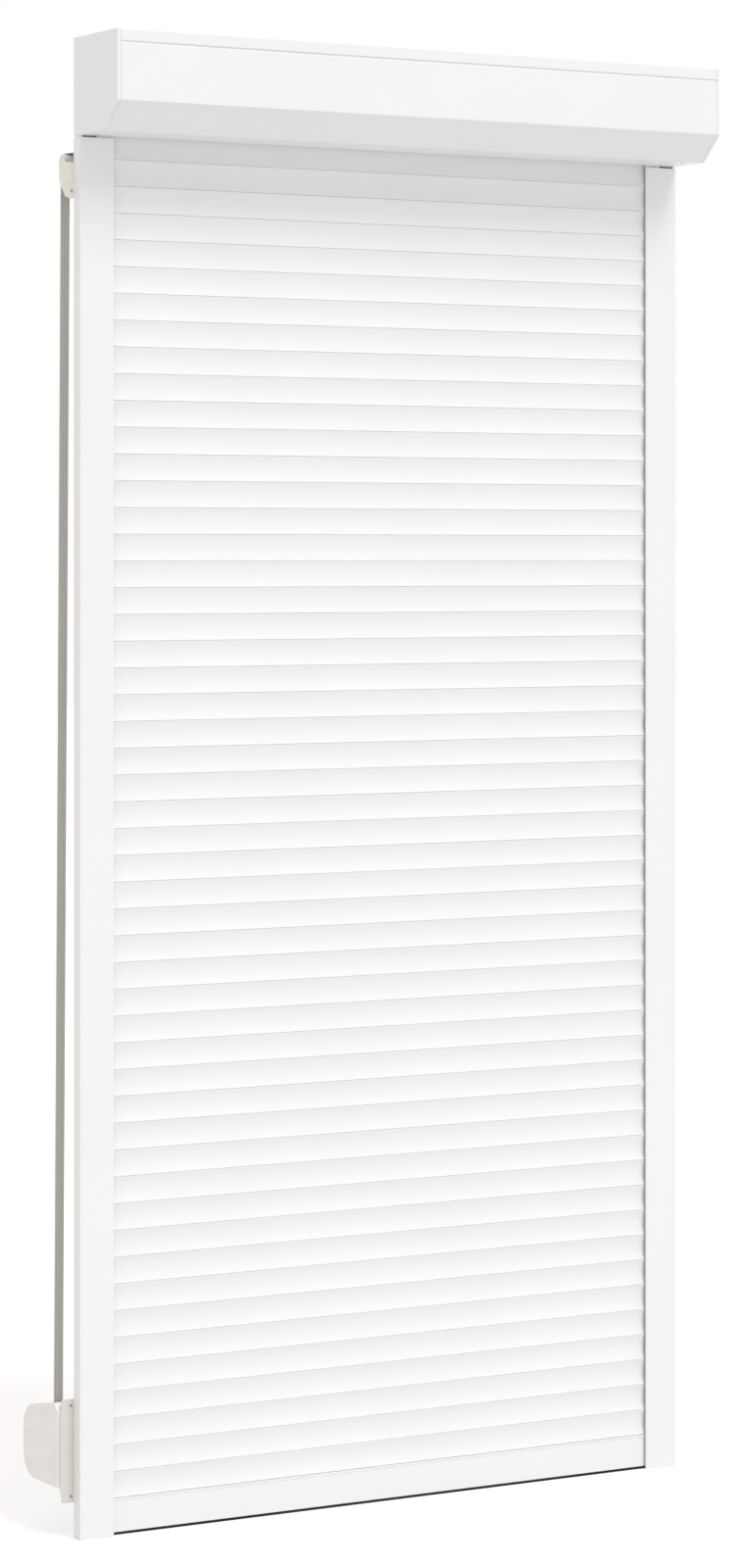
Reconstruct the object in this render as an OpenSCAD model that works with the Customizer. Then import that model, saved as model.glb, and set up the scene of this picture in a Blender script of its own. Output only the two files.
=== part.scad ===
// Exterior roller shutter with a strap drive, for the front of a window.
// X runs along the box, Y points into the wall and Z points up. The origin is the
// middle of the box's rear face, which lies on the wall.

/* [Overall] */
// Width over the outer sides of the guide rails
total_w = 1000; // [700:10:1400]
// Height from the feet of the rails to the top of the box
total_h = 2100; // [1500:10:2400]

/* [Box] */
// Height of the box
box_h = 137; // [132:1:165]
// Depth of the box from the wall
box_d = 137; // [132:1:165]
// Depth of the slope under the front
chamfer_d = 41.5; // [25:0.5:45]
// Height of the slope under the front
chamfer_h = 38.5; // [25:0.5:42]
// Height of the top shell's lip on the front
lip_h = 17.5; // [12:0.5:24]
// Thickness of the box's sheet
box_sheet = 1.2; // [0.8:0.1:1.6]
// Inner bend radius of the box's sheet
bend_in = 0.8; // [0.5:0.1:1.2]
// Width of an end cap's rim
cap_rim = 5; // [4:0.5:7]
// Thickness of an end cap's wall
cap_wall = 2.5; // [2:0.1:3.5]
// Width of an end cap's panel in the rear wall, with the strap's outlet
cap_panel_w = 33; // [30:0.5:38]
// Distance of the cover screws from the ends of the box
screw_in = 27; // [20:0.5:40]
// Distance of the cover screws from the wall
screw_out = 79; // [60:0.5:82]

/* [Guide rails] */
// Width of a guide rail
rail_w = 53; // [48:0.5:66]
// Depth of a guide rail
rail_d = 20; // [19:0.5:26]
// Wall of a guide rail
rail_wall = 1.6; // [1.2:0.1:2]
// Width of the closed chamber on the outer side
chamber_w = 27; // [24:0.5:30]
// Gap between the rails and the box
rail_gap = 3; // [2:0.5:5]

/* [Curtain] */
// Height that one slat covers
slat_pitch = 37.6; // [34:0.1:42]
// Thickness of a slat's body
slat_t = 6; // [5.6:0.1:6.6]
// Radius of a slat's hollow outer face
slat_r = 62; // [58:1:120]
// Length of a slat inside each rail
slat_in_rail = 18; // [14:0.5:20]
// Height of the end slat with its seal
end_slat_h = 52; // [40:0.5:70]
// Height of the seal under the end slat
seal_h = 4; // [3:0.5:6]

/* [Shaft] */
// Octagonal tube across its flats
tube_af = 40; // [36:1:50]
// Wall of the octagonal tube
tube_wall = 0.8; // [0.6:0.1:1.2]
// Radius of the shaft pins
pin_r = 6; // [5:0.5:7]
// Outer radius of the shaft bearings
bearing_r = 14; // [12:0.5:16]
// Width of the shaft bearings
bearing_w = 8; // [7:0.5:10]
// Radius of the strap disc
disc_r = 55; // [48:0.5:56]
// Radius of the strap disc's core
disc_core_r = 30; // [28:0.5:34]
// Number of suspension strips
strip_count = 3; // [2:1:5]

/* [Strap] */
// Width of the strap
strap_w = 14; // [12:0.5:16]
// Thickness of the strap
strap_t = 1; // [0.8:0.1:1.4]
// Radius of the guide roller
roller_r = 8; // [6:0.5:9]
// Distance of the guide roller's axis below the box
guide_drop = 32; // [30:1:60]
// Distance of the guide roller's axis behind the wall plane
guide_depth = 24; // [22:0.5:30]

/* [Strap recoiler] */
// Height of the reel's axis above the feet of the rails
reel_height = 122; // [90:1:1200]
// Radius of the reel's flanges
reel_r = 44; // [38:0.5:48]
// Radius of the reel's core
reel_core_r = 14; // [10:0.5:16]
// Radius of the reel's axle
axle_r = 4; // [3:0.5:5]
// Wall of the recoiler's casing
casing_wall = 2; // [1.6:0.1:2.6]
// Distance between the two fixing holes
recoiler_hole_pitch = 127; // [124:0.5:140]
// Radius of the fixing holes
fixing_hole_r = 2.2; // [1.8:0.1:2.6]

/* [Hidden] */
$fn = 48;
// Clearance between pieces that are fixed to each other
fit = 0.3;
// Radial clearance of a turning pin
running = 0.05;
// Radial clearance of a seated pin or bearing
seated = 0.02;

half_w = total_w / 2;
z_top = box_h / 2;
z_bot = -box_h / 2;
z_foot = z_top - total_h;
z_rail_top = z_bot - rail_gap;
box_outline = [[0, z_bot], [0, z_top], [-box_d, z_top],
               [-box_d, z_bot + chamfer_h], [-box_d + chamfer_d, z_bot]];
shaft_y = -box_d / 2;

// Box seams, the slats' inlet and the panels in the rear wall
lip_seam = 0.8;
lip_return = 6;
z_seam = z_top - lip_h - lip_seam;
bend_r = bend_in + box_sheet;
inlet_rear = bend_r + 0.5;
inlet_front = rail_d - 2;
inlet_lip = 8;
panel_top = 6;
spigot_len = 12;
spigot_wall = 2;
rail_tongue = 40;
screw_r = 1.8;
screw_head_r = 3.4;
screw_head_h = 1.8;
screw_y = -screw_out;
screw_x = half_w - screw_in;
screw_lug = 8;

// Curtain: slats hang in the middle of the rail's channel
slat_y = -rail_d / 2;
joint_gap = 0.4;
slat_half = slat_pitch / 2;
slat_edge = sqrt(pow(slat_r, 2) - pow(slat_half, 2));
arc_y = slat_y - (slat_edge + slat_r + slat_t) / 2;
slat_depth = slat_r + slat_t - slat_edge;
slat_corner = 0.6;
slat_end_x = half_w - rail_w + slat_in_rail;
lock_t = 2.5;
lock_inset = 0.6;
arc_steps = 8;
// Hook of a slat and the groove that takes the hook of the slat below
neck = 0.7;
bead = 1.5;
mouth = 1.2;
cavity = 2;
mouth_h = 3.2;
cavity_h = 6.6;
bead_play = 0.7;
bead_low = joint_gap + mouth_h + fit;
bead_high = joint_gap + cavity_h - bead_play;
bead_slope = 0.8;
hook_y = arc_y + sqrt(pow(slat_r + slat_t / 2, 2) - pow(slat_half - (mouth_h + cavity_h) / 2, 2));
// The curtain ends a little inside the box
curtain_entry = 5;
group_count = 17;
slat_count = ceil((z_bot + curtain_entry - z_foot - end_slat_h) / slat_pitch);
z_curtain = z_foot + end_slat_h;
z_curtain_top = z_curtain + slat_count * slat_pitch - joint_gap;

// End slat, a hollow profile with a groove for the seal
end_slat_wall = 1.4;
end_slat_t = slat_depth - 1.2;
end_lip = 0.8;
end_lip_h = 3;
seal_foot = 2.1;
seal_neck = 1;
seal_groove_h = 3.6;

// Rail seals
rib_w = 1.2;
rib_h = 2;
seal_foot_w = 5;
seal_lip_w = 2.4;
slat_play = 0.45;

// Strap disc, tight to the left end cap
disc_flange = 1.5;
strap_play = 1;
cap_clear = 2;
disc_x = -half_w + cap_wall + cap_clear + disc_flange + strap_play + strap_w / 2;
disc_half = strap_w / 2 + strap_play + disc_flange;
disc_winding_t = 7;
winding_r = disc_core_r + disc_winding_t;
boss_wall = 3;
boss_r = bearing_r + boss_wall;
boss_x = half_w - cap_wall - bearing_w;
plug_len = 36;
tube_start = disc_x + disc_half + 1;
tube_clear = 14;
tube_end = boss_x - tube_clear;
capsule_flange = 3;
strip_w = 18;
strip_t = 0.5;

// Strap outlet in the left end cap and the run behind the left rail
outlet_z = -48;
outlet_h = 12;
run_y = 4.5;
run_x = -half_w + 9.5;
bend = 4;

// Strap guide, on the back of the left rail
guide_x = -half_w + 3;
guide_z = z_bot - guide_drop;
guide_plate_t = 2.5;
guide_plate_high = guide_z - 5;
guide_plate_right = -half_w + 20;
guide_hole_x = -half_w - 3.3;
guide_hole_z = guide_z - 45.4;
guide_tab_r = 10.2;
cheek_t = 2.5;
cheek_gap = strap_w + 4;
cheek_low = guide_hole_z - 8;
cheek_high = guide_z + 5;
cheek_front = guide_depth - 7;
cheek_step = guide_depth - 12;
cheek_back = guide_depth + 5.5;
cheek_foot = 9;
cheek_slope = 23;
cheek_radii = [0, 4, 20, 8, 3, 3, 0];
strap_r = roller_r + fit + strap_t / 2;
guide_pin_r = 2.5;
bridge_r = 3;
bridge_arm_x = run_x + strap_w / 2 + strap_play;
bridge_y = run_y + strap_t / 2 + fit + bridge_r;
bridge_z = guide_z + strap_r + strap_t / 2 + fit + bridge_r;

// Recoiler, on the back of the left rail
recoiler_x = -half_w - 4.5;
recoiler_half = 18.5;
recoiler_seam = 0.4;
recoiler_corner = 5;
plate_t = 3;
plate_x = -half_w - 4;
tab_half = 13.5;
tab_end = 8.8;
tab_slope = 20;
tab_neck = 6;
tab_corner = 2;
// Sleeve behind each fixing hole
sleeve_len = 5;
sleeve_r = fixing_hole_r + 2;
reel_y = 62;
reel_z = z_foot + reel_height;
reel_flange = 1.5;
reel_half = strap_w / 2 + strap_play + reel_flange;
reel_winding_t = 4;
reel_winding_r = reel_core_r + reel_winding_t;
casing_gap = 10;
casing_low = reel_z - reel_r - 7;
casing_back = reel_y + reel_r + casing_gap;
casing_front_high = reel_z + reel_r + 23;
casing_back_high = reel_z + reel_r + 4;
casing_r = 40;
casing_edge = 2 * casing_wall;
// Notch in the casing behind the upper fixing hole
notch_d = 14;
notch_h = 13;
casing_face_high = casing_front_high - notch_h;
axle_boss = 3;
spring_t = 0.8;
spring_gap = 0.5;
spring_w = recoiler_half - casing_wall - axle_boss - reel_half - 2 * spring_gap;
spring_turns = 5;
spring_r = reel_r - 8;

// Strap's route from the disc to the reel, as corners and their bend radii
disc_run_r = winding_r + fit + strap_t / 2;
reel_run_r = reel_winding_r + fit + strap_t / 2;
strap_slot_y = reel_y - reel_run_r - 3;
strap_slot_half = 4;
strap_lead = 5;
route_corners = [
    [disc_x, run_y, outlet_z],
    [run_x, run_y, guide_z + strap_r],
    [guide_x, guide_depth + strap_r, guide_z + strap_r],
    [recoiler_x, strap_slot_y, casing_front_high - strap_lead]];
route_bends = [bend, bend, strap_r, 20];
route_end = [recoiler_x, reel_y - reel_run_r, reel_z];

slat_names = [for (i = [1 : group_count]) str("slats_", i < 10 ? "0" : "", i)];

// Direction and bend helpers for paths
function unit(v) = v / norm(v);
function left_of(v) = [-v[1], v[0]];
function mitre(a, b) = (a + b) / (1 + a * b);
function step_left(path, i) = left_of(unit(path[i + 1] - path[i]));
function shifted(path, i, d) =
    let (last = len(path) - 2)
    path[i] + d * mitre(step_left(path, max(i - 1, 0)), step_left(path, min(i, last)));

// Outline of a bent sheet whose outer side follows the path
function sheet_outline(path, t) =
    concat(path, [for (i = [len(path) - 1 : -1 : 0]) shifted(path, i, t)]);

// Closed outline moved inwards
function inset(outline, d) =
    let (n = len(outline))
    [for (i = [0 : n - 1])
        let (p = outline[i])
        let (before = left_of(unit(p - outline[(i + n - 1) % n])))
        let (after = left_of(unit(outline[(i + 1) % n] - p)))
        p + d * mitre(before, after)];

// Round bend at p between the points before and after it
function bend_points(before, p, after, r, steps) =
    let (a = unit(p - before), b = unit(after - p))
    let (cut = r * norm(a - b) / norm(a + b))
    [for (s = [0 : steps]) p + cut * (b * pow(s / steps, 2) - a * pow(1 - s / steps, 2))];

// Open path with round bends
function bent(path, r, steps = 4) =
    [for (i = [0 : len(path) - 1])
        each i == 0 || i == len(path) - 1 ? [path[i]]
            : bend_points(path[i - 1], path[i], path[i + 1], r, steps)];

// Closed outline with its own radius at each corner
function rounded(outline, radii, steps = 6) =
    let (n = len(outline))
    [for (i = [0 : n - 1])
        each radii[i] == 0 ? [outline[i]]
            : bend_points(outline[(i + n - 1) % n], outline[i], outline[(i + 1) % n], radii[i], steps)];

// Point where a taut run from p leaves the underside of a circle
function tangent_below(p, centre, r) =
    let (d = p - centre)
    let (angle = atan2(d[1], d[0]) - acos(r / norm(d)))
    centre + r * [cos(angle), sin(angle)];

// Extrusion of a profile in Y and Z along X
module along_x(from, to) {
    translate([from, 0, 0]) rotate([90, 0, 90]) linear_extrude(to - from) children();
}

// Cylinder along X
module rod_x(from, to, r, y, z) {
    translate([from, y, z]) rotate([0, 90, 0]) cylinder(h = to - from, r = r);
}

// Cylinder along Y
module rod_y(from, to, r, x, z) {
    translate([x, from, z]) rotate([-90, 0, 0]) cylinder(h = to - from, r = r);
}

// Octagonal bar along X on the shaft's axis
module octagon_x(from, to, flats) {
    translate([from, shaft_y, 0]) rotate([0, 90, 0]) rotate([0, 0, 22.5])
        cylinder(h = to - from, r = flats / 2 / cos(22.5), $fn = 8);
}

module block(from, to) {
    translate(from) cube(to - from);
}

// Box

module box_top_shell() {
    path = bent([[-inlet_rear, z_bot], [0, z_bot], [0, z_top], [-box_d, z_top],
                 [-box_d, z_top - lip_h], [-box_d + lip_return, z_top - lip_h]], bend_r);
    end_x = half_w - cap_rim - fit;
    color("white") difference() {
        along_x(-end_x, end_x) polygon(sheet_outline(path, box_sheet));
        for (side = [-1, 1])
            panel_cut(side);
    }
}

// Room in the rear wall for an end cap's panel
module panel_cut(side) {
    inner_x = half_w - cap_panel_w;
    x0 = side < 0 ? -half_w : inner_x;
    block([x0, -inlet_rear - 1, z_bot - 1], [x0 + cap_panel_w, 1, z_top - panel_top]);
}

module box_front_cover() {
    path = bent([[-box_d + lip_return, z_seam], [-box_d, z_seam], [-box_d, z_bot + chamfer_h],
                 [-box_d + chamfer_d, z_bot], [-inlet_front, z_bot],
                 [-inlet_front, z_bot + inlet_lip]], bend_r);
    end_x = half_w - cap_rim - fit;
    color("white") difference() {
        along_x(-end_x, end_x) polygon(sheet_outline(path, box_sheet));
        for (x = [-screw_x, screw_x])
            translate([x, screw_y, z_bot - 1]) cylinder(h = box_sheet + 2, r = screw_r + fit);
    }
}

// Left end cap: rim, wall, spigot in the box, bearing boss and tongue in the rail
module end_cap_body() {
    inner = box_sheet + fit;
    rim_in = inset(box_outline, inner + spigot_wall);
    spigot_from = -half_w + cap_wall;
    spigot_to = -half_w + cap_rim + spigot_len;
    along_x(-half_w, -half_w + cap_wall) polygon(box_outline);
    along_x(-half_w, -half_w + cap_rim) difference() {
        polygon(box_outline);
        polygon(rim_in);
    }
    difference() {
        along_x(spigot_from, spigot_to) difference() {
            polygon(inset(box_outline, inner));
            polygon(rim_in);
        }
        block([-half_w + cap_rim, -box_d, z_seam - box_sheet - 2],
              [spigot_to + 1, -box_d + lip_return + 2, z_seam + lip_seam + box_sheet + 2]);
        block([-half_w + cap_rim, -inlet_front - 3, z_bot - 1],
              [spigot_to + 1, -cap_wall, z_bot + inlet_lip + 2]);
    }
    block([-half_w + cap_wall, screw_y - screw_lug, z_bot + inner],
          [-screw_x + screw_lug, screw_y + screw_lug, z_bot + inner + spigot_wall]);
    block([-half_w, -cap_wall, z_bot],
          [-half_w + cap_panel_w - fit, 0, z_top - panel_top - fit]);
    rod_x(-half_w, -boss_x, boss_r, shaft_y, 0);
    block([-half_w + rail_wall + fit, -rail_d + rail_wall + fit, z_rail_top - rail_tongue],
          [-half_w + chamber_w - rail_wall - fit, -rail_wall - fit, z_bot + spigot_wall]);
}

module end_cap_left() {
    color("gainsboro") difference() {
        end_cap_body();
        rod_x(-half_w + cap_wall, -boss_x + 1, bearing_r + seated, shaft_y, 0);
        screw_holes(-1);
        block([disc_x - strap_w / 2 - strap_play, -cap_wall - 1, outlet_z - outlet_h / 2],
              [disc_x + strap_w / 2 + strap_play, 1, outlet_z + outlet_h / 2]);
    }
}

module end_cap_right() {
    color("gainsboro") difference() {
        mirror([1, 0, 0]) end_cap_body();
        rod_x(boss_x - 1, half_w - cap_wall, bearing_r + seated, shaft_y, 0);
        screw_holes(1);
    }
}

module screw_holes(side) {
    translate([side * screw_x, screw_y, z_bot])
        cylinder(h = box_sheet + fit + spigot_wall + 1, r = screw_r + seated);
}

module cover_screws() {
    color("silver") for (x = [-screw_x, screw_x]) translate([x, screw_y, z_bot]) {
        translate([0, 0, -screw_head_h]) cylinder(h = screw_head_h, r = screw_head_r);
        cylinder(h = box_sheet + fit + spigot_wall, r = screw_r);
    }
}

// Guide rails

// Profile of the left rail in X and Y: a closed chamber, then the slats' channel
module rail_profile() {
    translate([-half_w, -rail_d]) difference() {
        square([rail_w, rail_d]);
        translate([rail_wall, rail_wall])
            square([chamber_w - 2 * rail_wall, rail_d - 2 * rail_wall]);
        translate([chamber_w, rail_wall])
            square([rail_w - chamber_w + 1, rail_d - 2 * rail_wall]);
    }
    for (x = [rail_w - rib_w, rail_w - 2 * rib_w - seal_foot_w])
        for (y = [-rail_d + rail_wall, -rail_wall - rib_h])
            translate([-half_w + x, y]) square([rib_w, rib_h]);
}

module rail_length() {
    translate([0, 0, z_foot]) linear_extrude(z_rail_top - z_foot) children();
}

module guide_rail_left() {
    color("white") rail_length() rail_profile();
}

module guide_rail_right() {
    color("white") mirror([1, 0, 0]) rail_length() rail_profile();
}

// Brush seals at both sides of the channel's mouth
module seal_profile() {
    tip = slat_depth / 2 + slat_play;
    height = rail_d / 2 - rail_wall - tip;
    foot_x = -half_w + rail_w - rib_w - seal_foot_w;
    slim = 0.1;
    for (side = [-1, 1])
        translate([foot_x, slat_y + side * (tip + height / 2)]) {
            translate([slim, side * (height - rib_h) / 2 - (rib_h - slim) / 2])
                square([seal_foot_w - 2 * slim, rib_h - slim]);
            translate([(seal_foot_w - seal_lip_w) / 2, -height / 2])
                square([seal_lip_w, height]);
        }
}

module rail_seals_left() {
    color("dimgray") rail_length() seal_profile();
}

module rail_seals_right() {
    color("dimgray") mirror([1, 0, 0]) rail_length() seal_profile();
}

// Funnel on a rail's top that leads the slats into the channel
module inlet_funnel() {
    wall = 2;
    slot = slat_depth / 2 + 1;
    rear = slat_y + slot;
    front = slat_y - slot;
    flare_low = z_bot + inlet_lip + 3;
    flare_high = flare_low + 12;
    flare = 5;
    inside = [[rear, z_rail_top - 1], [rear, flare_high + 1], [front - flare, flare_high + 1],
              [front - flare, flare_high], [front, flare_low], [front, z_rail_top - 1]];
    outside = [[rear + wall, z_rail_top], [rear + wall, flare_high],
               [front - flare - wall, flare_high], [front - wall, flare_low],
               [front - wall, z_rail_top]];
    color("whitesmoke") difference() {
        along_x(-half_w + chamber_w, -half_w + rail_w) polygon(outside);
        along_x(-half_w + chamber_w + wall, -half_w + rail_w + 1) polygon(inside);
    }
}

module inlet_funnel_left() {
    inlet_funnel();
}

module inlet_funnel_right() {
    mirror([1, 0, 0]) inlet_funnel();
}

// Shaft

module bearing(from) {
    color("silver") difference() {
        rod_x(from, from + bearing_w, bearing_r, shaft_y, 0);
        rod_x(from - 1, from + bearing_w + 1, pin_r + running, shaft_y, 0);
    }
}

module bearing_left() {
    bearing(-half_w + cap_wall);
}

module bearing_right() {
    bearing(boss_x);
}

module shaft_tube() {
    color("lightgray") difference() {
        octagon_x(tube_start, tube_end, tube_af);
        octagon_x(tube_start - 1, tube_end + 1, tube_af - 2 * tube_wall);
    }
}

// Disc for the strap, with a plug in the tube and room for the bearing's boss
module strap_disc() {
    color("whitesmoke") difference() {
        union() {
            rod_x(disc_x - disc_half, disc_x + disc_half, disc_core_r, shaft_y, 0);
            for (x = [disc_x - disc_half, disc_x + disc_half - disc_flange])
                rod_x(x, x + disc_flange, disc_r, shaft_y, 0);
            octagon_x(disc_x, tube_start + plug_len, tube_af - 2 * tube_wall - 2 * seated);
        }
        rod_x(disc_x - disc_half - 1, -boss_x + 1, boss_r + 1, shaft_y, 0);
        rod_x(-boss_x, tube_start + plug_len + 1, pin_r + seated, shaft_y, 0);
    }
}

module shaft_capsule() {
    color("dimgray") difference() {
        union() {
            octagon_x(tube_end - plug_len, tube_end, tube_af - 2 * tube_wall - 2 * seated);
            rod_x(tube_end, tube_end + capsule_flange, tube_af / 2, shaft_y, 0);
        }
        rod_x(tube_end - plug_len - 1, tube_end + capsule_flange + 1, pin_r + seated, shaft_y, 0);
    }
}

module shaft_pin_left() {
    color("silver") rod_x(-half_w + cap_wall + fit, tube_start + plug_len, pin_r, shaft_y, 0);
}

module shaft_pin_right() {
    color("silver") rod_x(tube_end - plug_len, half_w - cap_wall - fit, pin_r, shaft_y, 0);
}

// Strap wound on the disc while the curtain is down
module disc_winding() {
    color("darkgray") difference() {
        rod_x(disc_x - strap_w / 2, disc_x + strap_w / 2, winding_r, shaft_y, 0);
        rod_x(disc_x - strap_w, disc_x + strap_w, disc_core_r + seated, shaft_y, 0);
    }
}

// Steel strips from the shaft to the hook of the top slat
module suspension_strips() {
    flat = tube_af / 2 + seated;
    corner = flat * tan(22.5);
    hook_face = hook_y - bead - fit - strip_t;
    path = [[shaft_y - corner, flat], [shaft_y + corner, flat], [shaft_y + flat, corner],
            [hook_face, z_curtain_top + bead_high], [hook_face, z_curtain_top + fit]];
    spacing = 2 * slat_end_x / strip_count;
    color("silver") for (i = [0 : strip_count - 1])
        let (x = (i - (strip_count - 1) / 2) * spacing)
        along_x(x - strip_w / 2, x + strip_w / 2)
            polygon(sheet_outline(reversed(path), -strip_t));
}

// Curtain

// Arc of a slat's face or back, upwards, at the given radius
function slat_arc(r, low, high) =
    [for (s = [0 : arc_steps])
        let (z = low + (high - low) * s / arc_steps)
        [arc_y + sqrt(pow(r, 2) - pow(z - slat_half, 2)), z]];
function reversed(list) = [for (i = [len(list) - 1 : -1 : 0]) list[i]];

// Groove under a slat, from its front to its back edge
groove = [[hook_y - mouth, 0], [hook_y - mouth, mouth_h], [hook_y - cavity, mouth_h],
          [hook_y - cavity, cavity_h], [hook_y + cavity, cavity_h], [hook_y + cavity, mouth_h],
          [hook_y + mouth, mouth_h], [hook_y + mouth, 0]];
// Hook on top of a slat, from its back to its front edge, at height z
function hook(z) =
    [[hook_y + neck, z], [hook_y + neck, z + bead_low], [hook_y + bead, z + bead_low],
     [hook_y + bead, z + bead_high - bead_slope], [hook_y + neck, z + bead_high],
     [hook_y - neck, z + bead_high], [hook_y - bead, z + bead_high - bead_slope],
     [hook_y - bead, z + bead_low], [hook_y - neck, z + bead_low], [hook_y - neck, z]];

// Outline of one slat, with its bottom at height 0
module slat_profile() {
    top = slat_pitch - joint_gap;
    back = slat_arc(slat_r + slat_t, slat_corner, top - slat_corner);
    front = slat_arc(slat_r, slat_corner, top - slat_corner);
    bottom_back = [back[0][0] - slat_corner, 0];
    bottom_front = [front[0][0] + slat_corner, 0];
    top_back = [back[arc_steps][0] - slat_corner, top];
    top_front = [front[arc_steps][0] + slat_corner, top];
    polygon(concat([bottom_front], groove, [bottom_back], back, [top_back],
                   hook(top), [top_front], reversed(front)));
}

// Plastic lock on a slat's end
module lock_profile() {
    low = cavity_h + lock_inset;
    high = slat_pitch - joint_gap - slat_corner - lock_inset;
    polygon(concat(slat_arc(slat_r + slat_t - lock_inset, low, high),
                   reversed(slat_arc(slat_r + lock_inset, low, high))));
}

module slat(z) {
    translate([0, 0, z]) {
        color("white") along_x(-slat_end_x, slat_end_x) slat_profile();
        for (x = [-slat_end_x - lock_t - seated, slat_end_x + seated])
            color("gray") along_x(x, x + lock_t) lock_profile();
    }
}

// One of the groups that the curtain is divided into, counted from the end slat
module slat_group(index) {
    first = floor(index * slat_count / group_count);
    next = floor((index + 1) * slat_count / group_count);
    for (i = [first : next - 1])
        slat(z_curtain + i * slat_pitch);
}

end_front = slat_y - end_slat_t / 2 + end_lip / 2;
end_back = slat_y + end_slat_t / 2 + end_lip / 2;

module end_slat() {
    low = z_foot + seal_h;
    top = z_curtain - joint_gap;
    shelf = low + seal_groove_h + 2 * end_slat_wall;
    outside = concat(
        [[end_front, low], [slat_y - seal_neck - fit, low],
         [slat_y - seal_neck - fit, low + end_slat_wall],
         [slat_y - seal_foot - fit, low + end_slat_wall],
         [slat_y - seal_foot - fit, low + seal_groove_h],
         [slat_y + seal_foot + fit, low + seal_groove_h],
         [slat_y + seal_foot + fit, low + end_slat_wall],
         [slat_y + seal_neck + fit, low + end_slat_wall],
         [slat_y + seal_neck + fit, low], [end_back, low], [end_back, top]],
        hook(top),
        [[end_front - end_lip, top], [end_front - end_lip, top - end_lip_h],
         [end_front, top - end_lip_h - end_lip]]);
    color("white") difference() {
        along_x(-slat_end_x, slat_end_x) polygon(outside);
        block([-slat_end_x - 1, end_front + end_slat_wall, shelf],
              [slat_end_x + 1, end_back - end_slat_wall, top - end_slat_wall]);
    }
}

module end_slat_seal() {
    low = z_foot + seal_h;
    round_r = 1.5;
    width = end_slat_t / 2 - 0.4;
    outline = concat(
        [[slat_y - width + round_r, z_foot], [slat_y + width - round_r, z_foot],
         [slat_y + width, z_foot + round_r], [slat_y + width, low - 0.1],
         [slat_y + seal_neck, low - 0.1], [slat_y + seal_neck, low + end_slat_wall + fit],
         [slat_y + seal_foot, low + end_slat_wall + fit]],
        [[slat_y + seal_foot, low + seal_groove_h - fit],
         [slat_y - seal_foot, low + seal_groove_h - fit],
         [slat_y - seal_foot, low + end_slat_wall + fit],
         [slat_y - seal_neck, low + end_slat_wall + fit], [slat_y - seal_neck, low - 0.1],
         [slat_y - width, low - 0.1], [slat_y - width, z_foot + round_r]]);
    color("black") along_x(-slat_end_x, slat_end_x) polygon(outline);
}

module end_slat_caps() {
    low = z_foot + seal_h;
    top = z_curtain - joint_gap;
    shelf = low + seal_groove_h + 2 * end_slat_wall;
    plug = 10;
    color("gray") for (side = [-1, 1]) {
        x = side < 0 ? -slat_end_x - lock_t : slat_end_x;
        plug_x = side < 0 ? -slat_end_x : slat_end_x - plug;
        block([x, end_front, low], [x + lock_t, end_back, top]);
        block([plug_x, end_front + end_slat_wall + fit, shelf + fit],
              [plug_x + plug, end_back - end_slat_wall - fit, top - end_slat_wall - fit]);
    }
}

// Strap

module strap() {
    start = tangent_below([run_y, outlet_z], [shaft_y, 0], disc_run_r);
    corners = concat([[disc_x, start[0], start[1]]], route_corners, [route_end]);
    route = concat([corners[0]],
        [for (i = [1 : len(corners) - 2])
            each bend_points(corners[i - 1], corners[i], corners[i + 1], route_bends[i - 1], 6)],
        [route_end]);
    last = len(route) - 1;
    points = [for (i = [0 : last])
        let (along = unit(route[min(i + 1, last)] - route[max(i - 1, 0)]))
        let (across = unit([1, 0, 0] - along[0] * along))
        let (normal = cross(along, across))
        for (c = [[1, 1], [-1, 1], [-1, -1], [1, -1]])
            route[i] + across * c[0] * strap_w / 2 + normal * c[1] * strap_t / 2];
    sides = [for (i = [0 : last - 1]) for (k = [0 : 3])
        let (a = 4 * i + k, b = 4 * i + (k + 1) % 4)
        each [[a, b, b + 4], [a, b + 4, a + 4]]];
    ends = [[2, 1, 0], [3, 2, 0], [4 * last, 4 * last + 1, 4 * last + 2],
            [4 * last, 4 * last + 2, 4 * last + 3]];
    color("darkgray") polyhedron(points, concat(sides, ends));
}

// Strap guide

// Side of the guide that holds the roller, in Y and Z
function cheek_outline() =
    rounded([[guide_plate_t, cheek_low], [cheek_foot, cheek_low],
             [cheek_back, cheek_low + cheek_slope], [cheek_back, cheek_high],
             [cheek_front, cheek_high], [cheek_step, guide_plate_high],
             [guide_plate_t, guide_plate_high]], cheek_radii);

// Arm that carries the bridge over the strap's bend
function arm_outline() =
    [[0, guide_plate_high - bridge_r], [guide_plate_t, guide_plate_high - bridge_r],
     [bridge_y + bridge_r, bridge_z], [bridge_y, bridge_z + bridge_r], [0, bridge_z]];

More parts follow.
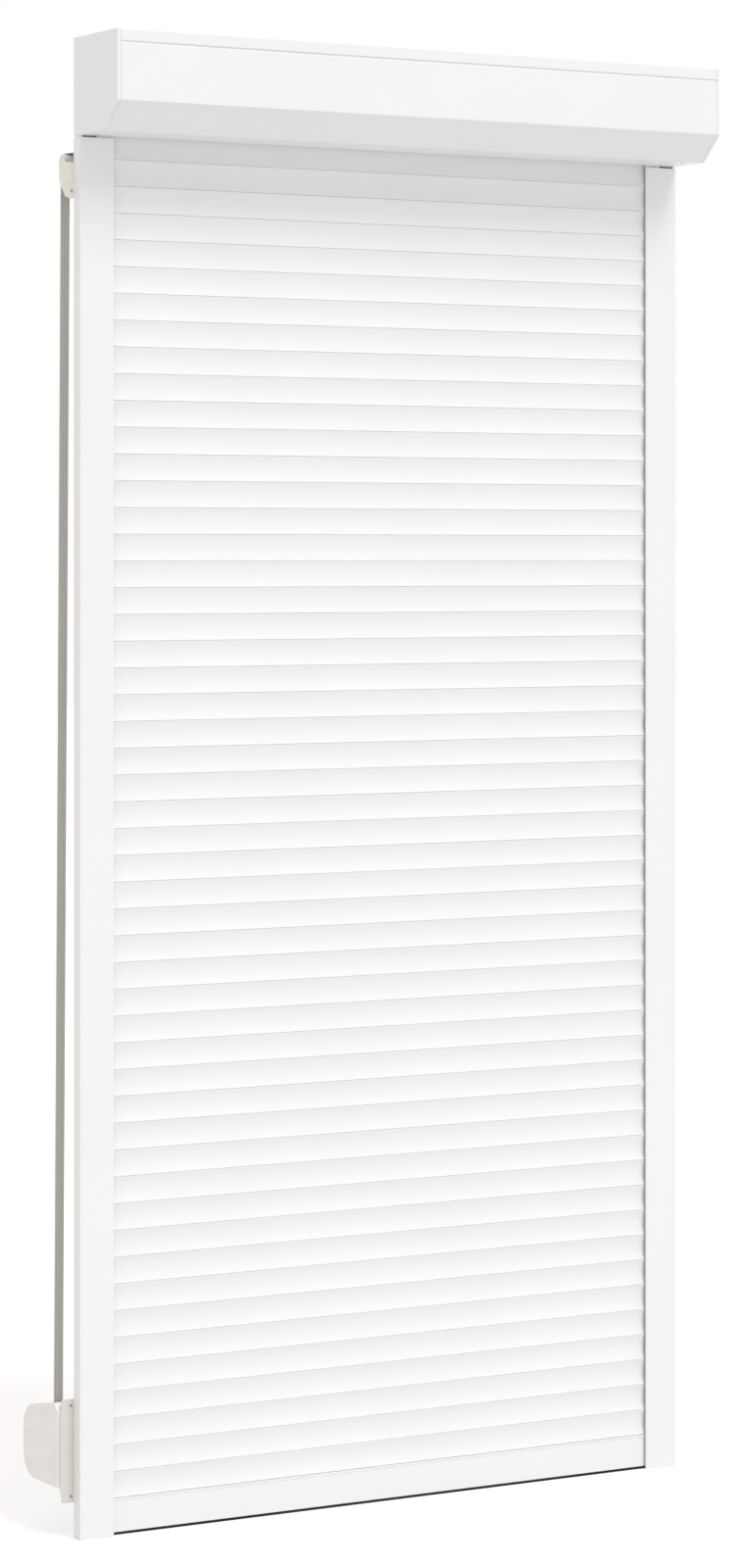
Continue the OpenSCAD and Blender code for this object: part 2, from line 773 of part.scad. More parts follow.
module strap_guide_housing() {
    left_x = guide_hole_x - guide_tab_r;
    right_x = guide_x + cheek_gap / 2;
    color("ivory") difference() {
        union() {
            block([left_x, 0, guide_hole_z], [guide_plate_right, guide_plate_t, guide_plate_high]);
            for (x = [guide_hole_x, guide_plate_right - guide_tab_r])
                rod_y(0, guide_plate_t, guide_tab_r, x, guide_hole_z);
            for (x = [guide_x - cheek_gap / 2 - cheek_t, right_x])
                along_x(x, x + cheek_t) polygon(cheek_outline());
            along_x(bridge_arm_x, bridge_arm_x + cheek_t) polygon(arm_outline());
            rod_x(run_x - strap_w / 2 + bridge_r, bridge_arm_x + cheek_t, bridge_r, bridge_y, bridge_z);
            rod_y(0, guide_plate_t + sleeve_len, sleeve_r, guide_hole_x, guide_hole_z);
        }
        rod_y(-1, guide_plate_t + sleeve_len + 1, fixing_hole_r, guide_hole_x, guide_hole_z);
        rod_x(guide_x - cheek_gap, guide_x + cheek_gap, guide_pin_r + seated, guide_depth, guide_z);
    }
}

module guide_roller() {
    length = cheek_gap - 2 * fit;
    color("whitesmoke") difference() {
        rod_x(guide_x - length / 2, guide_x + length / 2, roller_r, guide_depth, guide_z);
        rod_x(guide_x - length, guide_x + length, guide_pin_r + running, guide_depth, guide_z);
    }
}

module guide_roller_pin() {
    reach = cheek_gap / 2 + cheek_t;
    color("silver") rod_x(guide_x - reach, guide_x + reach, guide_pin_r, guide_depth, guide_z);
}

// Strap recoiler

casing = rounded([[plate_t, casing_low], [casing_back, casing_low], [casing_back, casing_back_high],
                  [notch_d, casing_front_high], [plate_t, casing_face_high]],
                 [casing_edge, casing_r, casing_r, casing_edge, casing_edge]);

// Cutter that rounds the casing's left front edge
module edge_cutter(x, y, r) {
    high = casing_front_high - casing_low + 2;
    translate([x, y, casing_low - 1]) difference() {
        translate([-1, -1, 0]) cube([r + 1, r + 1, high]);
        translate([r, r, -1]) cylinder(h = high + 2, r = r);
    }
}

module strap_slot() {
    half = strap_w / 2 + strap_play;
    block([recoiler_x - half, strap_slot_y - strap_slot_half, casing_back_high],
          [recoiler_x + half, strap_slot_y + strap_slot_half, casing_front_high + 1]);
}

// Seat of the axle on the inner side of the casing
module axle_seat(from, to) {
    difference() {
        rod_x(from, to, axle_r + axle_boss, reel_y, reel_z);
        rod_x(from - 1, to + 1, axle_r + seated, reel_y, reel_z);
    }
}

// Room in the casing for the sleeve behind the upper fixing hole
module sleeve_room() {
    rod_y(0, plate_t + sleeve_len + recoiler_seam, sleeve_r + recoiler_seam, plate_x,
          reel_z + recoiler_hole_pitch / 2);
}

// Plate on the wall with a fixing tab above and below the casing
module recoiler_plate() {
    hole = recoiler_hole_pitch / 2;
    wide_x = recoiler_x - recoiler_half + recoiler_corner / 2;
    left_x = plate_x - tab_half;
    right_x = plate_x + tab_half;
    low = reel_z - hole - tab_end;
    high = reel_z + hole + tab_end;
    outline = rounded([[left_x, low], [right_x, low], [right_x, high], [left_x, high],
                       [left_x, high - tab_neck], [wide_x, high - tab_slope],
                       [wide_x, low + tab_slope], [left_x, low + tab_neck]],
                      tab_corner * [1, 1, 1, 1, 0, 1, 1, 0]);
    color("ivory") difference() {
        union() {
            translate([0, plate_t, 0]) rotate([90, 0, 0]) linear_extrude(plate_t) polygon(outline);
            for (side = [-1, 1])
                rod_y(0, plate_t + sleeve_len, sleeve_r, plate_x, reel_z + side * hole);
        }
        for (side = [-1, 1])
            rod_y(-1, plate_t + sleeve_len + 1, fixing_hole_r, plate_x, reel_z + side * hole);
    }
}

module recoiler_base() {
    right = recoiler_x + recoiler_half;
    color("whitesmoke") {
        difference() {
            along_x(recoiler_x, right) polygon(casing);
            along_x(recoiler_x - 1, right - casing_wall) polygon(inset(casing, casing_wall));
            sleeve_room();
            strap_slot();
        }
        axle_seat(right - casing_wall - axle_boss, right - casing_wall / 2);
    }
}

module recoiler_cover() {
    left = recoiler_x - recoiler_half;
    edge = recoiler_x - recoiler_seam;
    color("whitesmoke") {
        difference() {
            along_x(left, edge) polygon(casing);
            edge_cutter(left, plate_t, recoiler_corner);
            difference() {
                along_x(left + casing_wall, edge + 1) polygon(inset(casing, casing_wall));
                edge_cutter(left + casing_wall, plate_t + casing_wall, recoiler_corner - casing_wall);
            }
            sleeve_room();
            strap_slot();
        }
        axle_seat(left + casing_wall / 2, left + casing_wall + axle_boss);
    }
}

module recoiler_axle() {
    reach = recoiler_half - casing_wall;
    color("silver") rod_x(recoiler_x - reach, recoiler_x + reach, axle_r, reel_y, reel_z);
}

module recoiler_reel() {
    color("whitesmoke") difference() {
        union() {
            rod_x(recoiler_x - reel_half, recoiler_x + reel_half, reel_core_r, reel_y, reel_z);
            for (x = [recoiler_x - reel_half, recoiler_x + reel_half - reel_flange])
                rod_x(x, x + reel_flange, reel_r, reel_y, reel_z);
        }
        rod_x(recoiler_x - recoiler_half, recoiler_x + recoiler_half, axle_r + running,
              reel_y, reel_z);
    }
}

module reel_winding() {
    color("darkgray") difference() {
        rod_x(recoiler_x - strap_w / 2, recoiler_x + strap_w / 2, reel_winding_r, reel_y, reel_z);
        rod_x(recoiler_x - strap_w, recoiler_x + strap_w, reel_core_r + seated, reel_y, reel_z);
    }
}

// Flat spiral spring between the reel and the casing's right side
module recoiler_spring() {
    steps = 16 * spring_turns;
    start_r = axle_r + seated + spring_t / 2;
    from = recoiler_x + reel_half + spring_gap;
    spiral = [for (i = [0 : steps])
        let (r = start_r + (spring_r - start_r) * i / steps)
        let (angle = 360 * spring_turns * i / steps)
        [reel_y + r * cos(angle), reel_z + r * sin(angle)]];
    color("dimgray") along_x(from, from + spring_w)
        polygon(sheet_outline([for (i = [0 : steps]) shifted(spiral, i, -spring_t / 2)], spring_t));
}

box_top_shell();
box_front_cover();
end_cap_left();
end_cap_right();
cover_screws();
guide_rail_left();
guide_rail_right();
rail_seals_left();
rail_seals_right();
inlet_funnel_left();
inlet_funnel_right();
bearing_left();
bearing_right();
shaft_tube();
strap_disc();
shaft_capsule();
shaft_pin_left();
shaft_pin_right();
disc_winding();
suspension_strips();
end_slat();
end_slat_seal();
end_slat_caps();
strap();
strap_guide_housing();
guide_roller();
guide_roller_pin();
recoiler_plate();
recoiler_base();
recoiler_cover();
recoiler_reel();
recoiler_axle();
recoiler_spring();
reel_winding();
for (i = [0 : group_count - 1])
    slat_group(i);
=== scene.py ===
"""Looks of the exterior roller shutter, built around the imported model. Lengths are in metres."""
import math

import bmesh
import bpy
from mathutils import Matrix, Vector


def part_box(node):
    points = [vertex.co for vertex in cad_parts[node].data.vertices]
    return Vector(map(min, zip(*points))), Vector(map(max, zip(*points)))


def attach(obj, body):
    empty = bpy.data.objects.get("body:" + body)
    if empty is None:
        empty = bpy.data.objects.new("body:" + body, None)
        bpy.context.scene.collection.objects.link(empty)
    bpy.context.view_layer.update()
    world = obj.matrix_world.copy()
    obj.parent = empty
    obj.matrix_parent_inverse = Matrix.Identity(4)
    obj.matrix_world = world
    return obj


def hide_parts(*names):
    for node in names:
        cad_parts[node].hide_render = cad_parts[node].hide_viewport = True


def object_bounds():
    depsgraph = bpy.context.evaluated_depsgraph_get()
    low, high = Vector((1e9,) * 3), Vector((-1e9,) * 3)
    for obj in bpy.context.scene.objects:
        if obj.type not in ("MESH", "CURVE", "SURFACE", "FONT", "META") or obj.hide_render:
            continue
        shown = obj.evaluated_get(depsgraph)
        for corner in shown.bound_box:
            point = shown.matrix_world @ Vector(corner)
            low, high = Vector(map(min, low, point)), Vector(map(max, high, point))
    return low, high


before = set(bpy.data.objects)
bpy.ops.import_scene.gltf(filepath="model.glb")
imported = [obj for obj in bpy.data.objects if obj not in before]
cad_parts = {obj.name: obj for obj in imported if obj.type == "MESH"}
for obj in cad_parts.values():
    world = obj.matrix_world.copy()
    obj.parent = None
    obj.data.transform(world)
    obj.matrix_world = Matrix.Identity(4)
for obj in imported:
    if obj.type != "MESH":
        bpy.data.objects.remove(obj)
cad_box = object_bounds()

MM = 0.001
X_AXIS = Vector((1, 0, 0))


# Places that come from the frame

def middle(name):
    """Centre of a CAD node's box."""
    low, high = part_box(name)
    return (low + high) / 2


FOOT_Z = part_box("guide_rail_left")[0].z
BOX_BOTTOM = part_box("box_front_cover")[0].z
GROUPS = sorted(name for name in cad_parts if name.startswith("slats_"))
SLATS_PER_GROUP = 3
SLAT_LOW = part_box(GROUPS[0])[0].z
SLAT_PITCH = (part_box(GROUPS[1])[0].z - SLAT_LOW) / SLATS_PER_GROUP
LOCK_T = 2.5 * MM
SLAT_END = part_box(GROUPS[0])[1].x - LOCK_T
SLAT_Y = middle(GROUPS[0]).y


# Camera at the photograph's place, in the pixels of the 755 x 1600 frame

FRAME_H = 1600
FOCAL_PX = 4397.2
HORIZON_PX = 569.0
SENSOR = 36
CAMERA_PLACE = (-3.1479, -5.4363, -0.6591)
CAMERA_TURN = math.radians(-29.903)


def make_camera():
    data = bpy.data.cameras.new("camera")
    data.sensor_width = SENSOR
    data.lens = FOCAL_PX / FRAME_H * SENSOR
    data.shift_y = (HORIZON_PX - FRAME_H / 2) / FRAME_H
    data.clip_end = 100
    camera = bpy.data.objects.new("camera", data)
    camera.location = CAMERA_PLACE
    camera.rotation_euler = (math.pi / 2, 0, CAMERA_TURN)
    bpy.context.scene.collection.objects.link(camera)
    bpy.context.scene.camera = camera


# Shader nodes

NOISE_ROUGHNESS = 0.55


def node(tree, kind, inputs=None, **settings):
    """New shader node; an input is a constant or another node's output."""
    made = tree.nodes.new(kind)
    for key, value in settings.items():
        setattr(made, key, value)
    for key, value in (inputs or {}).items():
        if isinstance(value, bpy.types.NodeSocket):
            tree.links.new(value, made.inputs[key])
        else:
            made.inputs[key].default_value = value
    return made


def object_place(tree, stretch=(1, 1, 1)):
    """Position on the piece, in metres, stretched along its axes."""
    place = node(tree, "ShaderNodeTexCoord").outputs["Object"]
    return node(tree, "ShaderNodeMapping", {"Vector": place, "Scale": stretch}).outputs[0]


def noise(tree, place, scale, detail=3.0):
    inputs = {"Vector": place, "Scale": scale, "Detail": detail, "Roughness": NOISE_ROUGHNESS}
    return node(tree, "ShaderNodeTexNoise", inputs).outputs[0]


def spread(tree, factor, low, high, start=0.3, end=0.7):
    """Factor from start to end, mapped to low to high."""
    inputs = {0: factor, 1: start, 2: end, 3: low, 4: high}
    return node(tree, "ShaderNodeMapRange", inputs).outputs[0]


def ramp(tree, factor, *stops):
    """Colour ramp through (position, colour) stops."""
    made = node(tree, "ShaderNodeValToRGB", {0: factor})
    elements = made.color_ramp.elements
    while len(elements) < len(stops):
        elements.new(0.5)
    for element, (position, colour) in zip(elements, stops):
        element.position = position
        element.color = (*colour, 1)
    return made.outputs[0]


def maths(tree, operation, a, b=0.0):
    return node(tree, "ShaderNodeMath", {0: a, 1: b}, operation=operation).outputs[0]


def bump(tree, height, distance, strength=1.0, normal=None):
    inputs = {"Height": height, "Distance": distance, "Strength": strength}
    if normal:
        inputs["Normal"] = normal
    return node(tree, "ShaderNodeBump", inputs).outputs[0]


def shade(colour, factor):
    return tuple(c * factor for c in colour)


def material(name):
    """New material with its node tree and its shader."""
    made = bpy.data.materials.new(name)
    made.use_nodes = True
    return made, made.node_tree, made.node_tree.nodes["Principled BSDF"]


def plug(tree, shader, **outputs):
    """Links outputs to the shader's inputs, named with underscores."""
    for key, output in outputs.items():
        tree.links.new(output, shader.inputs[key.replace("_", " ")])


# Materials

# Colour of the bare casting, darkened well beyond bare metal to carry painted shade in the gap under
# the box.
BARE_CASTING_AND_GAP_SHADE = (0.15, 0.145, 0.14)
CAST_GRAIN = (300, 300, 300)


def coating(name, colour, stretch, lines):
    """Satin stove enamel with faint orange peel, and draw lines along the profile."""
    made, tree, shader = material(name)
    place = object_place(tree)
    tone = noise(tree, place, 5)
    peel = noise(tree, place, 420, 2)
    drawn = noise(tree, object_place(tree, stretch), 1, 4)
    normal = bump(tree, drawn, lines, 0.4)
    plug(tree, shader,
         Base_Color=ramp(tree, tone, (0.3, shade(colour, 0.985)), (0.7, colour)),
         Roughness=spread(tree, noise(tree, place, 38), 0.34, 0.44),
         Normal=bump(tree, peel, 0.03 * MM, 0.5, normal))
    shader.inputs["Specular IOR Level"].default_value = 0.4
    return made


def cast_coating(name, colour, bare_shaded_below, bare_shaded_within):
    """Enamel on a casting; below a height and within a distance from the middle it is bare, dull and
    dark, a colour that also carries painted shade in the gap under the box.
    """
    made = coating(name, colour, CAST_GRAIN, 0.04 * MM)
    tree = made.node_tree
    shader = tree.nodes["Principled BSDF"]
    enamel = shader.inputs["Base Color"].links[0].from_socket
    place = node(tree, "ShaderNodeSeparateXYZ", {0: object_place(tree)}).outputs
    # Mask of the bare spigot, whose dark colour is partly bare casting and partly painted shade of the
    # gap.
    bare_shaded_mask = maths(tree, "MULTIPLY", maths(tree, "LESS_THAN", place["Z"], bare_shaded_below),
                 maths(tree, "LESS_THAN", maths(tree, "ABSOLUTE", place["X"]), bare_shaded_within))
    mixed = node(tree, "ShaderNodeMix", {0: bare_shaded_mask, 6: enamel, 7: (*BARE_CASTING_AND_GAP_SHADE, 1)}, data_type="RGBA")
    plug(tree, shader, Base_Color=mixed.outputs[2])
    return made


def moulded(name, colour):
    """Moulded plastic with a fine spark-eroded grain and slight flow marks."""
    made, tree, shader = material(name)
    place = object_place(tree)
    flow = noise(tree, object_place(tree, (20, 20, 60)), 1, 3)
    fine = noise(tree, place, 900, 2)
    plug(tree, shader,
         Base_Color=ramp(tree, flow, (0.3, shade(colour, 0.95)), (0.7, colour)),
         Roughness=spread(tree, noise(tree, place, 60), 0.42, 0.55),
         Normal=bump(tree, fine, 0.03 * MM, 0.6))
    return made


def rubber(name):
    """Black extruded rubber with a grey bloom."""
    made, tree, shader = material(name)
    bloom = noise(tree, object_place(tree), 70, 4)
    plug(tree, shader,
         Base_Color=ramp(tree, bloom, (0.35, (0.008, 0.008, 0.0085)), (0.8, (0.024, 0.024, 0.025))),
         Roughness=spread(tree, bloom, 0.55, 0.8),
         Normal=bump(tree, noise(tree, object_place(tree, (40, 900, 900)), 1, 3), 0.05 * MM, 0.5))
    shader.inputs["Specular IOR Level"].default_value = 0.2
    return made


def bristle(name):
    """Grey pile of a brush seal, whose strands stand across the strip."""
    made, tree, shader = material(name)
    strands = noise(tree, object_place(tree, (700, 60, 1800)), 1, 2)
    plug(tree, shader,
         Base_Color=ramp(tree, strands, (0.3, (0.05, 0.05, 0.052)), (0.7, (0.2, 0.2, 0.205))),
         Normal=bump(tree, strands, 0.3 * MM))
    shader.inputs["Roughness"].default_value = 0.85
    return made


def galvanised(name):
    """Zinc-dipped sheet with its crystal spangle."""
    made, tree, shader = material(name)
    place = object_place(tree)
    spangle = node(tree, "ShaderNodeTexVoronoi", {"Vector": place, "Scale": 130}).outputs["Color"]
    tone = node(tree, "ShaderNodeSeparateColor", {0: spangle}).outputs[0]
    plug(tree, shader,
         Base_Color=ramp(tree, tone, (0.0, (0.50, 0.51, 0.52)), (1.0, (0.68, 0.69, 0.70))),
         Roughness=spread(tree, tone, 0.3, 0.5, 0, 1),
         Normal=bump(tree, noise(tree, place, 300, 2), 0.02 * MM))
    shader.inputs["Metallic"].default_value = 1
    return made


def zinc_plated(name):
    """Bright zinc plating with turning marks."""
    made, tree, shader = material(name)
    turned = noise(tree, object_place(tree, (1500, 60, 60)), 1, 3)
    plug(tree, shader,
         Base_Color=ramp(tree, turned, (0.3, (0.60, 0.60, 0.58)), (0.7, (0.74, 0.74, 0.73))),
         Roughness=spread(tree, turned, 0.22, 0.38),
         Normal=bump(tree, turned, 0.02 * MM, 0.5))
    shader.inputs["Metallic"].default_value = 1
    return made


WEBBING_DARK = (0.368, 0.352, 0.325)
WEBBING_LIGHT = (0.626, 0.608, 0.57)
BAND_PITCH, RIDGE_PITCH, THREAD_PITCH = 3.5 * MM, 1.3 * MM, 0.9 * MM


def wave(tree, place, pitch):
    """Sine wave along a length."""
    return maths(tree, "SINE", maths(tree, "MULTIPLY", place, 2 * math.pi / pitch))


def webbing(name):
    """Woven strap: warp bands across it and weft ridges along it, by its UV map in metres."""
    made, tree, shader = material(name)
    place = node(tree, "ShaderNodeUVMap", uv_map="strap").outputs[0]
    across, along, _ = node(tree, "ShaderNodeSeparateXYZ", {0: place}).outputs
    band = wave(tree, across, BAND_PITCH)
    ridge = wave(tree, along, RIDGE_PITCH)
    thread = wave(tree, across, THREAD_PITCH)
    weave = maths(tree, "MULTIPLY", ridge, thread)
    fuzz = noise(tree, object_place(tree), 900, 3)
    tone = maths(tree, "ADD", spread(tree, band, 0.2, 0.8, -1, 1),
                 spread(tree, weave, -0.12, 0.12, -1, 1))
    plug(tree, shader,
         Base_Color=ramp(tree, maths(tree, "ADD", tone, spread(tree, fuzz, -0.1, 0.1)),
                         (0.15, WEBBING_DARK), (0.85, WEBBING_LIGHT)),
         Normal=bump(tree, weave, 0.12 * MM, 0.8, bump(tree, fuzz, 0.05 * MM, 0.6)))
    shader.inputs["Roughness"].default_value = 0.78
    shader.inputs["Sheen Weight"].default_value = 0.25
    return made


def wound_webbing(name):
    """Strap on a reel: layers show as rings round the reel's axis."""
    made, tree, shader = material(name)
    layers = noise(tree, object_place(tree, (60, 700, 700)), 1, 3)
    plug(tree, shader,
         Base_Color=ramp(tree, layers, (0.3, WEBBING_DARK), (0.7, WEBBING_LIGHT)),
         Normal=bump(tree, layers, 0.2 * MM))
    shader.inputs["Roughness"].default_value = 0.8
    return made


WHITE = (0.905, 0.905, 0.90)
ALONG_X = (4, 700, 700)
ALONG_Z = (700, 700, 4)
BARE_SHADE_DROP, CAP_RIM = 0.5 * MM, 5 * MM
sheet_coat = coating("sheet_coat", WHITE, ALONG_X, 0.02 * MM)
slat_coat = coating("slat_coat", WHITE, ALONG_X, 0.03 * MM)
rail_coat = coating("rail_coat", WHITE, ALONG_Z, 0.02 * MM)
# The end caps' spigot under the box is painted dark: bare casting and painted shade of the gap above
# the rails.
cap_coat = cast_coating("cap_coat", (0.90, 0.90, 0.895), BOX_BOTTOM - BARE_SHADE_DROP, cad_box[1].x - CAP_RIM)
white_plastic = moulded("white_plastic", (0.86, 0.86, 0.84))
cream_plastic = moulded("cream_plastic", (0.89, 0.87, 0.785))
# The recoiler plate's colour is darker than the casing's: partly its own beige tone, partly painted
# shade of its face recessed behind the rail.
beige_plastic = moulded("beige_plastic", (0.735, 0.715, 0.67))
recoiler_plastic = moulded("recoiler_plastic", (0.92, 0.895, 0.885))
grey_plastic = moulded("grey_plastic", (0.35, 0.35, 0.36))
black_rubber = rubber("black_rubber")
brush_pile = bristle("brush_pile")
galvanised_steel = galvanised("galvanised_steel")
zinc_steel = zinc_plated("zinc_steel")
strap_webbing = webbing("strap_webbing")
roll_webbing = wound_webbing("roll_webbing")


# Stage

SKY_LEVEL = 0.69
SKY_RISE = 0.32
SKY_COLOUR = (1, 0.962, 0.954)
SUN_LEVEL = 1.14
SUN_COLOUR = (0.9, 1, 0.985)
SUN_FROM = Vector((0.15, -0.62, 0.79))
SUN_ANGLE = math.radians(25)
FLOOR_REACH = 30
FLOOR_COLOUR = 0.7
FLOOR_GLOW = 0.36


def shown_rays(tree):
    """1 for rays that show the stage, also in a reflection, and 0 for rays that light the object."""
    path = node(tree, "ShaderNodeLightPath").outputs
    reflected = maths(tree, "MAXIMUM", path["Is Glossy Ray"], path["Is Transmission Ray"])
    return maths(tree, "MAXIMUM", path["Is Camera Ray"], reflected)


def make_stage():
    world = bpy.data.worlds.new("studio")
    bpy.context.scene.world = world
    world.use_nodes = True
    tree = world.node_tree
    shown = shown_rays(tree)
    background = tree.nodes["Background"]
    direction = node(tree, "ShaderNodeTexCoord").outputs["Generated"]
    height = node(tree, "ShaderNodeSeparateXYZ", {0: direction}).outputs["Z"]
    sky = spread(tree, height, SKY_LEVEL, SKY_LEVEL + SKY_RISE, 0, 1)
    tree.links.new(ramp(tree, shown, (0, SKY_COLOUR), (1, (1, 1, 1))), background.inputs["Color"])
    tree.links.new(spread(tree, shown, sky, 1, 0, 1), background.inputs["Strength"])

    sun = bpy.data.lights.new("sun", "SUN")
    sun.energy = SUN_LEVEL
    sun.color = SUN_COLOUR
    sun.angle = SUN_ANGLE
    lamp = bpy.data.objects.new("sun", sun)
    lamp.rotation_euler = SUN_FROM.to_track_quat("Z", "Y").to_euler()
    bpy.context.scene.collection.objects.link(lamp)

    made, tree, shader = material("floor")
    shader.inputs["Base Color"].default_value = (FLOOR_COLOUR, FLOOR_COLOUR, FLOOR_COLOUR, 1)
    shader.inputs["Roughness"].default_value = 1
    shader.inputs["Specular IOR Level"].default_value = 0
    shader.inputs["Emission Color"].default_value = (1, 1, 1, 1)
    plug(tree, shader, Emission_Strength=spread(tree, shown_rays(tree), 0, FLOOR_GLOW, 0, 1))
    corners = [(sx * FLOOR_REACH, sy * FLOOR_REACH, FOOT_Z)
               for sx, sy in ((-1, -1), (1, -1), (1, 1), (-1, 1))]
    mesh = bpy.data.meshes.new("floor")
    mesh.from_pydata(corners, [], [(0, 1, 2, 3)])
    mesh.materials.append(made)
    floor = bpy.data.objects.new("floor", mesh)
    bpy.context.scene.collection.objects.link(floor)


# Meshes

SMOOTH_BELOW = math.radians(35)
FILLET_STEPS = 4


def piece(name, parts, finish, body):
    """One object from (vertices, faces) parts, smooth where its faces meet at a small angle."""
    verts, faces = [], []
    for part_verts, part_faces in parts:
        base = len(verts)
        verts += part_verts
        faces += [[base + i for i in face] for face in part_faces]
    mesh = bpy.data.meshes.new(name)
    mesh.from_pydata(verts, [], faces)
    solid = bmesh.new()
    solid.from_mesh(mesh)
    bmesh.ops.recalc_face_normals(solid, faces=solid.faces)
    solid.to_mesh(mesh)
    solid.free()
    mesh.shade_smooth()
    mesh.set_sharp_from_angle(angle=SMOOTH_BELOW)
    mesh.materials.append(finish)
    made = bpy.data.objects.new(name, mesh)
    bpy.context.scene.collection.objects.link(made)
    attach(made, body)
    return made


def extruded(outline, start, end, lift=0.0):
    """Vertices and faces of an outline in Y and Z, extruded along X."""
    count = len(outline)
    verts = [(x, y, z + lift) for x in (start, end) for y, z in outline]
    sides = [(i, (i + 1) % count, count + (i + 1) % count, count + i) for i in range(count)]
    ends = [tuple(range(count - 1, -1, -1)), tuple(range(count, 2 * count))]
    return verts, sides + ends


def fillet(before, corner, after, radius):
    """Points of the arc that rounds a corner of an outline."""
    before, corner, after = Vector(before), Vector(corner), Vector(after)
    a = (corner - before).normalized()
    b = (after - corner).normalized()
    turn = math.atan2(a.x * b.y - a.y * b.x, a.dot(b))
    start = corner - a * radius * math.tan(abs(turn) / 2)
    side = Vector((-a.y, a.x)) * math.copysign(radius, turn)
    centre = start + side
    points = []
    for step in range(FILLET_STEPS + 1):
        angle = turn * step / FILLET_STEPS
        x, y = -side.x, -side.y
        points.append((centre.x + x * math.cos(angle) - y * math.sin(angle),
                       centre.y + x * math.sin(angle) + y * math.cos(angle)))
    return points


def rounded(outline, radii):
    """Closed outline with its own radius at each corner; 0 keeps the point."""
    count = len(outline)
    points = []
    for i, radius in enumerate(radii):
        if radius:
            points += fillet(outline[i - 1], outline[i], outline[(i + 1) % count], radius)
        else:
            points.append(outline[i])
    return points


# Curtain

SLAT_R = 62 * MM
SLAT_T = 6 * MM
SEAM, END_SEAM = 0.25 * MM, 0.5 * MM
JOINT_GAP = 0.4 * MM
EDGE_R = 0.7 * MM
ARC_STEPS = 16
NECK, BEAD = 0.7 * MM, 1.5 * MM
MOUTH, CAVITY = 1.2 * MM, 2.0 * MM
MOUTH_H, CAVITY_H = 3.2 * MM, 6.6 * MM
BEAD_LOW, BEAD_HIGH = 3.9 * MM, 6.3 * MM
BEAD_LOW_R, BEAD_HIGH_R = 0.3 * MM, 0.9 * MM
LOCK_INSET = 0.6 * MM
HALF = SLAT_PITCH / 2
ARC_Y = SLAT_Y - (math.sqrt(SLAT_R ** 2 - HALF ** 2) + SLAT_R + SLAT_T) / 2
HOOK_Y = ARC_Y + math.sqrt((SLAT_R + SLAT_T / 2) ** 2 - (HALF - (MOUTH_H + CAVITY_H) / 2) ** 2)


def arc_point(radius, z):
    return ARC_Y + math.sqrt(radius ** 2 - (z - HALF) ** 2), z


def slat_arc(radius, low, high):
    """Upward points of a slat's face or back."""
    return [arc_point(radius, low + (high - low) * i / ARC_STEPS) for i in range(ARC_STEPS + 1)]


def slat_outline(seam):
    """Outline of one slat with its bottom at 0: its front edge reaches down to the seam."""
    top = SLAT_PITCH - JOINT_GAP
    low = seam - JOINT_GAP
    edge = 1.5 * EDGE_R
    front, back = SLAT_R, SLAT_R + SLAT_T
    corners = [(arc_point(front, low), EDGE_R), ((HOOK_Y - MOUTH, low), EDGE_R / 2)]
    corners += [(p, 0) for p in (
        (HOOK_Y - MOUTH, MOUTH_H), (HOOK_Y - CAVITY, MOUTH_H), (HOOK_Y - CAVITY, CAVITY_H),
        (HOOK_Y + CAVITY, CAVITY_H), (HOOK_Y + CAVITY, MOUTH_H), (HOOK_Y + MOUTH, MOUTH_H))]
    corners += [((HOOK_Y + MOUTH, 0), EDGE_R / 2), (arc_point(back, 0), EDGE_R)]
    corners += [(p, 0) for p in slat_arc(back, edge, top - edge)]
    corners += [(arc_point(back, top), EDGE_R)]
    bead_low, bead_high = top + BEAD_LOW, top + BEAD_HIGH
    corners += [((HOOK_Y + NECK, top), 0), ((HOOK_Y + NECK, bead_low), 0),
                ((HOOK_Y + BEAD, bead_low), BEAD_LOW_R), ((HOOK_Y + BEAD, bead_high), BEAD_HIGH_R),
                ((HOOK_Y - BEAD, bead_high), BEAD_HIGH_R), ((HOOK_Y - BEAD, bead_low), BEAD_LOW_R),
                ((HOOK_Y - NECK, bead_low), 0), ((HOOK_Y - NECK, top), 0)]
    corners += [(arc_point(front, top), EDGE_R)]
    corners += [(p, 0) for p in reversed(slat_arc(front, low + edge, top - edge))]
    return rounded([p for p, _ in corners], [r for _, r in corners])


def lock_outline():
    """Outline of the plastic lock on a slat's end."""
    low = CAVITY_H + LOCK_INSET
    high = SLAT_PITCH - JOINT_GAP - 2 * LOCK_INSET
    return slat_arc(SLAT_R + SLAT_T - LOCK_INSET, low, high) + \
        slat_arc(SLAT_R + LOCK_INSET, low, high)[::-1]


def make_curtain():
    slat, lowest, lock = slat_outline(SEAM), slat_outline(END_SEAM), lock_outline()
    for number, name in enumerate(GROUPS):
        body = f"slat_group_{number + 1:02d}"
        lifts = [SLAT_LOW + (number * SLATS_PER_GROUP + i) * SLAT_PITCH for i in range(SLATS_PER_GROUP)]
        outlines = [slat if z > SLAT_LOW else lowest for z in lifts]
        slats = piece(f"{body}_slats",
                      [extruded(o, -SLAT_END, SLAT_END, z) for o, z in zip(outlines, lifts)],
                      slat_coat, body)
        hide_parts(name)
        locks = [extruded(lock, side * SLAT_END, side * (SLAT_END + LOCK_T), z)
                 for z in lifts for side in (-1, 1)]
        piece(f"{body}_locks", locks, grey_plastic, body)


# Sealing tape in the slit between the box's shell and its cover

TAPE_T, TAPE_BACK, TAPE_W = 0.7 * MM, 1 * MM, 4 * MM
TAPE_GAP = 0.05 * MM


